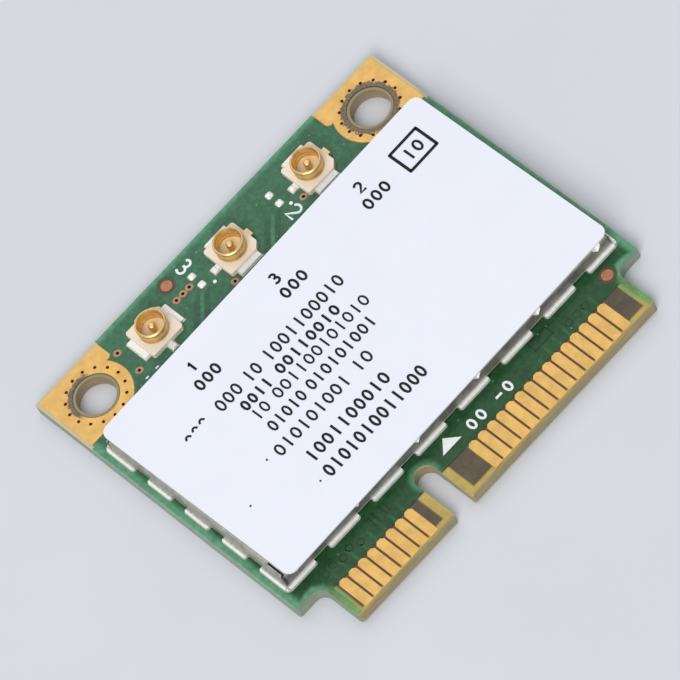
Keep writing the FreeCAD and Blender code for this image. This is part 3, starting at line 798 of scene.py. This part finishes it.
def gold_material(look):
    """Gold plating, scuffed round the holes: on one side of the left, all round the right."""
    material, tree = new_material("Gold plating")
    tone = spread(tree, grains(tree, 1.3), look.gold, 0.9, 1.08)
    stain = spread(tree, grains(tree, 7.0), look.stain, 0.62, 1.45)
    for spot, outer, aim in zip(HOLES, (1.80, 1.87), ((-0.64, 0.77, 0.0), None)):
        ragged = grains(tree, 4.5, outer - 0.12, outer + 0.1)
        share = ring_share(tree, spot, 1.45, ragged, 0.05)
        if aim:
            toward = vectors(tree, "SUBTRACT", place_of(tree), (*spot[:2], HIGH.z))
            toward = vectors(tree, "NORMALIZE", toward)
            dot = add(tree, "ShaderNodeVectorMath", {0: toward, 1: aim}, operation="DOT_PRODUCT")
            share = times(tree, share, ramp(tree, dot.outputs["Value"], 0.3, 0.6))
        tone = mix(tree, times(tree, share, 0.92), tone, stain)
    rough = grains(tree, 3.0, look.gold_rough * 0.85, look.gold_rough * 1.2)
    coat(tree, tone, rough, 4.0, 0.12, metal=1.0)
    return material


def label_material(look):
    """White film with a faint cloudy tone."""
    material, tree = new_material("Label film")
    tone = spread(tree, grains(tree, 0.35), look.film, 0.975, 1.0)
    tone = mix(tree, grains(tree, 9.0), shade(look.film, 0.985), tone)
    coat(tree, tone, 0.5, 1.2, 0.05, level=0.35)
    return material


def plastic_material(look):
    """Moulded socket bodies, warmer on the floor inside each ring."""
    material, tree = new_material("Socket body")
    tone = spread(tree, grains(tree, 2.0), look.plastic, 0.96, 1.0)
    for x in SOCKETS:
        inside = disc_share(tree, (x, ROW, 0.0), 0.9, 0.05)
        tone = mix(tree, inside, tone, look.socket_floor)
    coat(tree, tone, 0.5, 6.0, 0.08)
    return material


def socket_material(look):
    """Gilt metal with painted highlight and shade in light and dark bands, tinned where it is
    soldered to the card.
    """
    material, tree = new_material("Socket metal")
    height = split(tree, place_of(tree))[2]
    grain = grains(tree, 2.5)
    depth = maths(tree, "SUBTRACT", box_top("antenna_socket_left_shell"), height)
    # Painted highlight and shade: lighter and darker bands down the rings and posts, repeating at
    # the band pitch.
    painted_bands = maths(tree, "COSINE", times(tree, depth, 2 * pi * MM / look.painted_band_pitch))
    gilt = mix(tree, ramp(tree, painted_bands, -1.0, 1.0), spread(tree, grain, look.socket, 0.8, 0.98),
               spread(tree, grain, look.socket, 1.12, 1.26))
    tinned = ramp(tree, height, FACE + 0.18, FACE + 0.15)
    tin = spread(tree, grains(tree, 7.0), look.solder, 0.85, 1.0)
    rough = ramp(tree, tinned, 0.0, 1.0, 0.4, 0.45)
    coat(tree, mix(tree, tinned, gilt, tin), rough, 6.0, 0.1,
         metal=ramp(tree, tinned, 0.0, 1.0, 0.85, 0.05))
    return material


def can_material(look):
    """Tinned sheet and soldered feet, with painted shade on the front and back walls, round the
    feet and in the open corners, and painted highlights on the walls' lower edges and pressed
    corners.
    """
    material, tree = new_material("Can sheet")
    axes = split(tree, place_of(tree))
    normal = add(tree, "ShaderNodeNewGeometry").outputs["True Normal"]
    facing = split(tree, vectors(tree, "ABSOLUTE", normal))
    grain = grains(tree, 1.8)
    fine = grains(tree, 6.0)
    # Painted shade: walls that face front and back get a darker copy of the sheet.
    sheet = mix(tree, ramp(tree, facing[1], 0.4, 0.9), spread(tree, grain, look.sheet, 0.8, 1.15),
                spread(tree, grain, look.sheet, 0.5, 0.8))
    # The feet: painted shade along their roots and on the upright faces round their tips
    across = maths(tree, "ABSOLUTE", axes[0])
    beside = between(tree, across, *(CAN_HIGH.x - inset for inset in (0.3, 0.26, 0.22, 0.12)))
    front_root_shade = between(tree, axes[1], *(CAN_LOW.y + inset for inset in (0.21, 0.26, 0.28, 0.32)))
    low = ramp(tree, axes[2], FOOT_TOP + 0.02, FOOT_TOP + 0.005)
    tip_shade = times(tree, low, ramp(tree, facing[2], 0.6, 0.3, 0.0, 0.6))
    outline = greatest(tree, beside, times(tree, front_root_shade, low), tip_shade)
    foot = mix(tree, outline, spread(tree, fine, look.foot, 0.85, 1.0),
               spread(tree, fine, look.foot, 0.3, 0.55))
    # Feet tops take the feet's colour; the band along the walls' lower edges and the pressed
    # corners take it too, as painted highlights.
    edge = between(tree, axes[2], *(WALL_FOOT + rise for rise in (-0.015, -0.005, 0.025, 0.045)))
    pressed_highlight = times(tree, ramp(tree, facing[0], 0.5, 0.6), ramp(tree, facing[1], 0.4, 0.5))
    bright = greatest(tree, low, edge, pressed_highlight)
    # The open corners by the front wall: painted shade, stronger at the left one than the right
    folded = add(tree, "ShaderNodeCombineXYZ", {0: across, 1: axes[1]}).outputs[0]
    seam = area(CAN_HIGH.x - 0.46, CAN_HIGH.x - 0.26, CAN_LOW.y + 0.2, CAN_LOW.y + 0.5)
    painted_seam_shade = times(tree, box_share(tree, seam, 0.06, place=folded),
                  ramp(tree, axes[2], WALL_FOOT, WALL_FOOT + 0.3))
    painted_seam_shade = times(tree, painted_seam_shade, ramp(tree, axes[0], -1.0, 1.0, 0.9, 0.4))
    tone = mix(tree, painted_seam_shade, mix(tree, bright, sheet, foot), look.seam)
    coat(tree, tone, look.sheet_rough, 3.0, 0.3, metal=ramp(tree, bright, 0.0, 1.0, 0.5, 0.0))
    return material


# Operators

class MINICARD_OT_board(bpy.types.Operator):
    """Finish the bare laminate of the board and the nibs left where it was broken out"""
    bl_idname = "minicard.board"
    bl_label = "Board"

    def execute(self, context):
        laminate = laminate_material(context.scene.minicard_board)
        dress(laminate, "circuit_board")
        nibs = Sketch(*NIB_LEVELS)
        for outline in NIBS:
            nibs.prism([(x, NIB_ROOT + reach) for x, reach in outline])
        nibs.piece("edge_nibs", laminate)
        return {"FINISHED"}


class MINICARD_OT_mask(bpy.types.Operator):
    """Finish the solder mask and the relief of the traces that lie under it"""
    bl_idname = "minicard.mask"
    bl_label = "Solder mask"

    def execute(self, context):
        look = context.scene.minicard_board
        dress(mask_material(look), "solder_mask_top", "solder_mask_bottom")
        raised = Sketch(FACE, FACE + look.relief / MM)
        for start, contacts, length, step, cycle in TRACES:
            for i in contacts:
                x = start + CONTACT_HALF + PITCH * i
                end = TRACE_START + length + step * (i % cycle)
                raised.strip([(x, TRACE_START), (x, end)], TRACE_WIDTH)
        for x, y in FEEDS:
            raised.strip([(x, y), (x + FEED_RUN[0], y + FEED_RUN[1])], FEED_WIDTH)
        raised.piece("mask_traces", mask_material(look, "Mask over traces", 1.4))
        gaps = Sketch(FACE, FACE + look.relief / MM)
        for x, y in GAP_RINGS:
            gaps.ring(x, y, *GAP_RING)
        for x in GAP_LINES:
            gaps.strip([(x, y) for y in GAP_ENDS], GAP_WIDTH)
        gaps.strip(sharp(GAP_LOOP), GAP_WIDTH, closed=True)
        gaps.piece("mask_gaps", mask_material(look, "Mask over gaps", 0.62))
        return {"FINISHED"}


class MINICARD_OT_gold(bpy.types.Operator):
    """Plate the edge contacts and the ground pads"""
    bl_idname = "minicard.gold"
    bl_label = "Gold plating"

    def execute(self, context):
        gold = gold_material(context.scene.minicard_metal)
        dress(gold, *nodes_with("edge_contacts"), *nodes_with("ground_pad"))
        return {"FINISHED"}


class MINICARD_OT_copper(bpy.types.Operator):
    """Finish the via rings and the alignment marks, set discs of painted shade in the open vias,
    and plug the ground pads' vias
    """
    bl_idname = "minicard.copper"
    bl_label = "Bare copper"

    def execute(self, context):
        look = context.scene.minicard_metal
        dress(mottled("Bare copper", look.copper, 0.15, 3.0, 0.42, metal=0.85, relief=0.2),
              "alignment_marks")
        dress(mottled("Via rings", look.ring, 0.15, 4.0, 0.5, metal=0.5, relief=0.2),
              *nodes_with("via_rings"))
        level = box_top("via_rings_top")
        # Painted shade: dark discs sunk into the open vias.
        shade_discs = Sketch(level - 0.2, level - 0.03)
        for i, x, y in OPEN_VIAS:
            shade_discs.disc(SOCKETS[i] + x, ROW + y, VIA_RADIUS)
        shade_discs.piece("via_depths", mottled("Via depth", look.via, 0.3, 5.0, 0.8, level=0.0))
        plugs = Sketch(level - 0.2, level - 0.02)
        for (x, y, z), turn in zip(HOLES, PAD_VIA_TURNS):
            for i in range(PAD_VIA_COUNT):
                a = radians(turn + 360.0 / PAD_VIA_COUNT * i)
                plugs.disc(x + PAD_VIA_RING * cos(a), y + PAD_VIA_RING * sin(a), VIA_RADIUS)
        plugs.piece("pad_via_plugs", mottled("Via plugs", look.plug, 0.3, 5.0, 0.8, level=0.0))
        return {"FINISHED"}


class MINICARD_OT_solder(bpy.types.Operator):
    """Tin the lands, and set drops of solder on the spare lands and the sockets' signal legs"""
    bl_idname = "minicard.solder"
    bl_label = "Solder"

    def execute(self, context):
        look = context.scene.minicard_metal
        dress(mottled("Solder", shade(look.solder, 0.8), 0.22, 6.0, 0.45, metal=0.3, relief=0.4,
                      relief_scale=5.0), "socket_lands", "spare_lands", "component_lands")
        # Painted shade: the lands round the can's feet get a darker copy of the solder, for a dark
        # outline round the feet.
        dress(mottled("Solder rim", shade(look.solder, 0.45), 0.2, 5.0, 0.5, metal=0.3, relief=0.4),
              "shield_lands")
        bright = mottled("Solder drops", look.solder, 0.2, 7.0, 0.4, metal=0.25, relief=0.5,
                         relief_scale=5.0)
        level = box_top("spare_lands")
        drops = Sketch(level, level)
        for socket in SOCKETS[1:]:
            for x, y in LAND_PLACES:
                drops.dome(socket + x, ROW + y, *LAND_DROP)
            drops.dome(socket + LEG_PLACE, ROW, *LEG_DROP)
        drops.dome(SOCKETS[0], ROW + LEG_PLACE, *LEFT_LEG_DROP)
        drops.piece("solder_drops", bright)
        return {"FINISHED"}


class MINICARD_OT_sockets(bpy.types.Operator):
    """Finish the antenna sockets"""
    bl_idname = "minicard.sockets"
    bl_label = "Antenna sockets"

    def execute(self, context):
        plastic = plastic_material(context.scene.minicard_plain)
        gilt = socket_material(context.scene.minicard_metal)
        for side in SIDES:
            socket = "antenna_socket_" + side
            dress(plastic, socket + "_base")
            dress(gilt, socket + "_shell", socket + "_pin")
        return {"FINISHED"}


class MINICARD_OT_can(bpy.types.Operator):
    """Finish the shield can"""
    bl_idname = "minicard.can"
    bl_label = "Shield can"

    def execute(self, context):
        dress(can_material(context.scene.minicard_metal), "shield_can")
        return {"FINISHED"}


class MINICARD_OT_label(bpy.types.Operator):
    """Finish the label and print its numerals, plain shapes and square"""
    bl_idname = "minicard.label"
    bl_label = "Label"

    def execute(self, context):
        look = context.scene.minicard_print
        dress(label_material(context.scene.minicard_plain), "can_label")
        level = box_top("can_label")
        sketch = Sketch(level, level + look.thickness / MM)
        stroke = look.label_stroke / MM
        for word, x, y, width in LABEL_NUMERALS:
            numeral(sketch, word, x, y, width, LABEL_NUMERAL_HEIGHT, BOLD * stroke, LABEL_TURN)
        for x0, x1, y, height, weight in LABEL_ROWS:
            self.row(sketch, x0, x1, y, height, look.cell / MM, weight * stroke)
        sketch.strip(sharp(LABEL_SQUARE), LABEL_SQUARE_LINE, closed=True)
        for x, y in LABEL_DOTS:
            sketch.disc(x, y, LABEL_DOT, 8)
        for x, y in LABEL_BOWS:
            sketch.strip(arc(x, y, *LABEL_BOW, 20, 160), stroke)
        ink = mottled("Label ink", look.ink, 0.15, 6.0, 0.6, level=0.2)
        sketch.piece("label_print", ink)
        return {"FINISHED"}

    def row(self, sketch, x0, x1, y, height, cell, stroke):
        """Ovals and upright bars from x0 to x1, along the label's turn."""
        count = max(1, round((x1 - x0) / cell))
        step = (x1 - x0) / count
        for i in range(count):
            x = x0 + step * (i + 0.5)
            middle_y = y + (x - (x0 + x1) / 2) * sin(LABEL_TURN)
            if (i + count) % 4 == 2 or i % 5 == 3:
                sketch.block(x, middle_y, stroke, height, LABEL_TURN)
            else:
                half_x, half_y = (step * 0.8 - stroke) / 2, (height - stroke) / 2
                sketch.strip(arc(x, middle_y, half_x, half_y, *OVAL_ARC), stroke, closed=True)


class MINICARD_OT_legend(bpy.types.Operator):
    """Print the white numerals, dots, ticks, triangle and plain shapes on the card"""
    bl_idname = "minicard.legend"
    bl_label = "Card legend"

    def execute(self, context):
        look = context.scene.minicard_print
        sketch = Sketch(FACE, FACE + look.thickness / MM)
        stroke = look.legend_stroke / MM
        for word, x, y, width, height in LEGEND_NUMERALS:
            numeral(sketch, word, x, y, width, height, stroke, LEGEND_TURN)
        for x, y in LEGEND_DOTS:
            sketch.disc(x, y, LEGEND_DOT)
        for x, y in LEGEND_TICKS:
            sketch.block(x, y, *LEGEND_TICK)
        sketch.prism(LEGEND_TRIANGLE)
        for x, y in LEGEND_OVALS:
            sketch.strip(arc(x, y, *LEGEND_OVAL, *OVAL_ARC), stroke, closed=True)
        sketch.block(*LEGEND_DASH, stroke)
        white = mottled("Legend ink", look.legend, 0.05, 5.0, 0.55)
        sketch.piece("card_legend", white)
        return {"FINISHED"}


class MINICARD_OT_hidden(bpy.types.Operator):
    """Finish the parts under the can"""
    bl_idname = "minicard.hidden"
    bl_label = "Parts under the can"

    def execute(self, context):
        look = context.scene.minicard_plain
        dress(mottled("Chip body", look.epoxy, 0.2, 4.0, 0.55, relief=0.2),
              "radio_chip", "configuration_memory", "power_converter")
        dress(mottled("Module body", shade(look.epoxy, 1.6), 0.2, 4.0, 0.5, relief=0.2),
              *nodes_with("front_end_module"))
        dress(mottled("Ceramic", look.ceramic, 0.12, 3.0, 0.5),
              "bulk_capacitors", "small_capacitors", *nodes_with("band_filter"))
        dress(mottled("Ferrite", look.ferrite, 0.15, 3.0, 0.6, relief=0.2), "power_inductors")
        sheet = context.scene.minicard_metal.sheet
        dress(mottled("Crystal lid", sheet, 0.06, 2.0, 0.28, metal=1.0), "reference_crystal")
        return {"FINISHED"}


# Stage, in metres

FLOOR_HALF = 1.5
FLOOR_DROP = 0.02 * MM
LAMPS = (("overhead", (0.18, 0.53, 0.84), 1.3, "soft"), ("side", (-0.50, -0.50, 0.70), 0.6, "key"))
SKY_COLOUR = (0.93, 0.96, 1.0, 1.0)


class MINICARD_OT_stage(bpy.types.Operator):
    """Set the floor, lamps and camera"""
    bl_idname = "minicard.stage"
    bl_label = "Stage"

    def execute(self, context):
        scene = context.scene
        for step in (self.floor, self.lamps, self.camera):
            step(scene, scene.minicard_stage)
        return {"FINISHED"}

    def floor(self, scene, look):
        mesh = bpy.data.meshes.new("floor")
        ends = ((-1, -1), (1, -1), (1, 1), (-1, 1))
        mesh.from_pydata([(x * FLOOR_HALF, y * FLOOR_HALF, 0) for x, y in ends], [], [[0, 1, 2, 3]])
        mesh.materials.append(mottled("Floor", look.floor, 0.01, 0.05, 0.8, level=0.1))
        floor = bpy.data.objects.new("floor", mesh)
        scene.collection.objects.link(floor)
        floor.location.z = -FLOOR_DROP

    def lamps(self, scene, look):
        world = bpy.data.worlds.new("Surround")
        world.use_nodes = True
        background = world.node_tree.nodes["Background"].inputs
        background["Color"].default_value = SKY_COLOUR
        background["Strength"].default_value = look.sky
        scene.world = world
        for name, place, size, power in LAMPS:
            lamp = bpy.data.lights.new(name, "AREA")
            lamp.shape = "SQUARE"
            lamp.size = size
            lamp.energy = getattr(look, power)
            obj = bpy.data.objects.new(name, lamp)
            scene.collection.objects.link(obj)
            obj.location = place
            obj.rotation_euler = Vector(place).to_track_quat("Z", "Y").to_euler()

    def camera(self, scene, look):
        lens = bpy.data.cameras.new("camera")
        lens.lens = look.lens
        lens.sensor_width = 36.0
        lens.clip_start = 0.01
        lens.clip_end = 10.0
        camera = bpy.data.objects.new("camera", lens)
        scene.collection.objects.link(camera)
        flat = cos(look.elevation)
        toward = Vector((flat * cos(look.azimuth), flat * sin(look.azimuth), sin(look.elevation)))
        turn = toward.to_track_quat("Z", "Y").to_matrix() @ Matrix.Rotation(look.roll, 3, "Z")
        place = Vector(look.target) + toward * look.distance
        camera.matrix_world = Matrix.Translation(place) @ turn.to_4x4()
        scene.camera = camera


STEPS = (MINICARD_OT_board, MINICARD_OT_mask, MINICARD_OT_gold, MINICARD_OT_copper,
         MINICARD_OT_solder, MINICARD_OT_sockets, MINICARD_OT_can, MINICARD_OT_label,
         MINICARD_OT_legend, MINICARD_OT_hidden, MINICARD_OT_stage)
LOOKS = {"minicard_board": MINICARD_PG_board, "minicard_metal": MINICARD_PG_metal,
         "minicard_plain": MINICARD_PG_plain, "minicard_print": MINICARD_PG_print,
         "minicard_stage": MINICARD_PG_stage}


class MINICARD_PT_panel(bpy.types.Panel):
    """Every finish and step of the card"""
    bl_idname = "MINICARD_PT_panel"
    bl_label = "Mini Card"
    bl_space_type = "VIEW_3D"
    bl_region_type = "UI"
    bl_category = "Mini Card"

    def draw(self, context):
        for step in STEPS:
            self.layout.operator(step.bl_idname)
        for name, group in LOOKS.items():
            column = self.layout.column(align=True)
            for key in group.__annotations__:
                column.prop(getattr(context.scene, name), key)


def register():
    for name, group in LOOKS.items():
        bpy.utils.register_class(group)
        setattr(bpy.types.Scene, name, PointerProperty(type=group))
    for item in STEPS + (MINICARD_PT_panel,):
        bpy.utils.register_class(item)


def unregister():
    for item in reversed(STEPS + (MINICARD_PT_panel,)):
        bpy.utils.unregister_class(item)
    for name, group in LOOKS.items():
        delattr(bpy.types.Scene, name)
        bpy.utils.unregister_class(group)


def main():
    register()
    bpy.context.scene.view_settings.view_transform = "Standard"
    for make in EFFECTS:
        make()
    for step in STEPS:
        getattr(bpy.ops.minicard, step.bl_idname.split(".")[1])()


if __name__ == "__main__":
    main()
